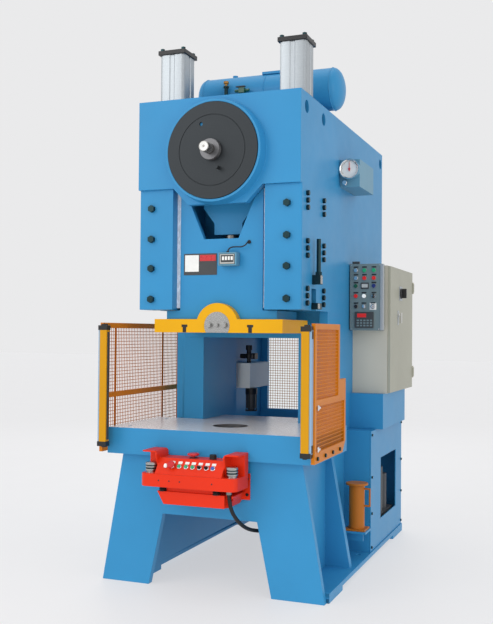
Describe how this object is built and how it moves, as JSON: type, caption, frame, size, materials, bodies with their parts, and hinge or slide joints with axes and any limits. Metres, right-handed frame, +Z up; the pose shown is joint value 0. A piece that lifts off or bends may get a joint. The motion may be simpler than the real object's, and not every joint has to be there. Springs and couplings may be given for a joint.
{
  "type": "mechanical stamping press",
  "caption": "Open-front C-frame mechanical stamping press with crank-driven slide, balance cylinders, side guards, light curtains and a two-hand console.",
  "frame": {"origin": "centre of the whole machine's box at floor level; the ram axis stands at X = -0.0525 m, Y = -0.5865 m", "axes": "+Z up along the slide's stroke, +X to the operator's right, +Y from the operator towards the rear"},
  "size_m": [1.415, 2.203, 3.026],
  "materials": {
    "blue_paint": "satin machine enamel",
    "table_steel": "ground flat",
    "yellow_paint": "satin enamel",
    "bright_steel": "machined",
    "dark_steel": "black oxide",
    "forged_steel": "turned and ground",
    "cast_iron": "as cast with turned rim",
    "bronze": "turned bronze",
    "motor_grey": "hammer finish",
    "belt_rubber": "matte",
    "light_plastic": "fine texture",
    "aluminium_profile": "anodised",
    "gauge_blue": "satin enamel",
    "black_plastic": "fine texture",
    "chrome_fittings": "polished",
    "cabinet_beige": "fine powder coat",
    "panel_slate": "fine powder coat",
    "panel_lamps": "clear gloss",
    "orange_paint": "satin enamel",
    "console_red": "satin enamel",
    "console_keys": "moulded",
    "stop_red": "moulded",
    "hose_rubber": "matte"
  },
  "bodies": {
    "frame": {"air_tank": "blue_paint", "air_unit": "light_plastic", "balance_cylinders": "aluminium_profile", "bearing_bushes": "bronze", "bolt_set": "dark_steel", "cabinet_body": "cabinet_beige", "console_controls": "console_keys", "console_hose": "hose_rubber", "console_housing": "console_red", "console_stand": "console_red", "drive_belts": "belt_rubber", "front_leg_plate": "blue_paint", "gauge_box": "gauge_blue", "gibs": "bright_steel", "guard_frames": "orange_paint", "guard_meshes": "orange_paint", "guide_housings": "blue_paint", "head_front_plate": "blue_paint", "hose_glands": "black_plastic", "inner_frame": "blue_paint", "knockout_stops": "dark_steel", "light_curtains": "yellow_paint", "main_motor": "motor_grey", "panel_box": "panel_slate", "panel_controls": "panel_lamps", "pump_unit": "motor_grey", "rear_box_cover": "blue_paint", "safety_block": "orange_paint", "side_boxes": "blue_paint", "side_feet": "blue_paint", "side_plate_left": "blue_paint", "side_plate_right": "blue_paint", "table": "table_steel", "throat_columns": "blue_paint", "top_and_rear_plate": "blue_paint"},
    "crank": {"crankshaft": "forged_steel", "crank_disc": "dark_steel", "main_gear": "forged_steel"},
    "rod": {"connecting_rod": "forged_steel", "ball_screw": "dark_steel"},
    "slide": {"slide_body": "blue_paint", "slide_flange": "yellow_paint", "shank_clamp": "bright_steel", "indicator_box": "light_plastic", "balance_rods": "bright_steel"},
    "knockout": {"knockout_bar": "dark_steel"},
    "pinion": {"pinion_shaft": "forged_steel", "clutch_brake": "dark_steel"},
    "flywheel": {"flywheel": "cast_iron"},
    "motor_rotor": {"motor_pulley": "cast_iron"},
    "door": {"cabinet_door": "cabinet_beige"},
    "isolator": {"main_switch": "black_plastic"},
    "lock": {"door_lock": "chrome_fittings"},
    "selector": {"panel_selector": "black_plastic"},
    "key": {"panel_key_switch": "chrome_fittings"},
    "palm_left": {"palm_button_left": "bright_steel"},
    "palm_right": {"palm_button_right": "bright_steel"},
    "stop_button": {"emergency_stop": "stop_red"},
    "needle": {"gauge_needle": "black_plastic"},
    "regulator": {"regulator_knob": "chrome_fittings"}
  },
  "joints": [
    {"name": "crank_turn", "type": "hinge", "parent": "frame", "child": "crank", "pos_m": [-0.0525, -0.5865, 2.355], "axis": [0, 1, 0], "range_deg": [0, 180]},
    {"name": "slide_stroke", "type": "slide", "parent": "frame", "child": "slide", "axis": [0, 0, -1], "range_m": [0, 0.16]},
    {"name": "rod_pivot", "type": "hinge", "parent": "crank", "child": "rod", "pos_m": [-0.0525, -0.5865, 2.435], "axis": [0, 1, 0], "range_deg": [-180, 0]},
    {"name": "pinion_turn", "type": "hinge", "parent": "frame", "child": "pinion", "pos_m": [-0.0525, -0.5865, 1.995], "axis": [0, 1, 0], "range_deg": [-540, 0]},
    {"name": "flywheel_spin", "type": "hinge", "parent": "frame", "child": "flywheel", "pos_m": [-0.0525, -0.5865, 1.995], "axis": [0, 1, 0], "continuous": true},
    {"name": "motor_spin", "type": "hinge", "parent": "frame", "child": "motor_rotor", "pos_m": [-0.0525, -0.5865, 1.51], "axis": [0, 1, 0], "continuous": true},
    {"name": "knockout_lift", "type": "slide", "parent": "slide", "child": "knockout", "axis": [0, 0, 1], "range_m": [0, 0.06]},
    {"name": "door_swing", "type": "hinge", "parent": "frame", "child": "door", "pos_m": [0.6715, 1.0135, 1.4], "axis": [0, 0, 1], "range_deg": [0, 110]},
    {"name": "isolator_turn", "type": "hinge", "parent": "door", "child": "isolator", "pos_m": [0.6678, 0.5985, 1.64], "axis": [1, 0, 0], "range_deg": [0, 90]},
    {"name": "lock_turn", "type": "hinge", "parent": "door", "child": "lock", "pos_m": [0.6678, 0.5235, 1.5], "axis": [1, 0, 0], "range_deg": [0, 90]},
    {"name": "selector_turn", "type": "hinge", "parent": "frame", "child": "selector", "pos_m": [0.5865, 0.1825, 1.609], "axis": [0, 1, 0], "range_deg": [-45, 45]},
    {"name": "key_turn", "type": "hinge", "parent": "frame", "child": "key", "pos_m": [0.5805, 0.1825, 1.544], "axis": [0, 1, 0], "range_deg": [0, 90]},
    {"name": "palm_press_left", "type": "slide", "parent": "frame", "child": "palm_left", "axis": [0, 0, -1], "range_m": [0, 0.008], "stiffness_N_per_m": 2500, "springref_m": -0.008},
    {"name": "palm_press_right", "type": "slide", "parent": "frame", "child": "palm_right", "axis": [0, 0, -1], "range_m": [0, 0.008], "stiffness_N_per_m": 2500, "springref_m": -0.008},
    {"name": "stop_press", "type": "slide", "parent": "frame", "child": "stop_button", "axis": [0, 0, -1], "range_m": [0, 0.006]},
    {"name": "needle_turn", "type": "hinge", "parent": "frame", "child": "needle", "pos_m": [0.4895, -0.0675, 2.363], "axis": [0, 1, 0], "range_deg": [-120, 120]},
    {"name": "regulator_turn", "type": "hinge", "parent": "frame", "child": "regulator", "pos_m": [0.4635, -0.0575, 2.28], "axis": [0, 1, 0], "range_deg": [-150, 150]}
  ],
  "couplings": [
    {"joint": "slide_stroke", "follows": "crank_turn", "m_per_rad": 0.050929},
    {"joint": "rod_pivot", "follows": "crank_turn", "ratio": -1},
    {"joint": "pinion_turn", "follows": "crank_turn", "ratio": -3},
    {"joint": "motor_spin", "follows": "flywheel_spin", "ratio": 5.5714}
  ]
}
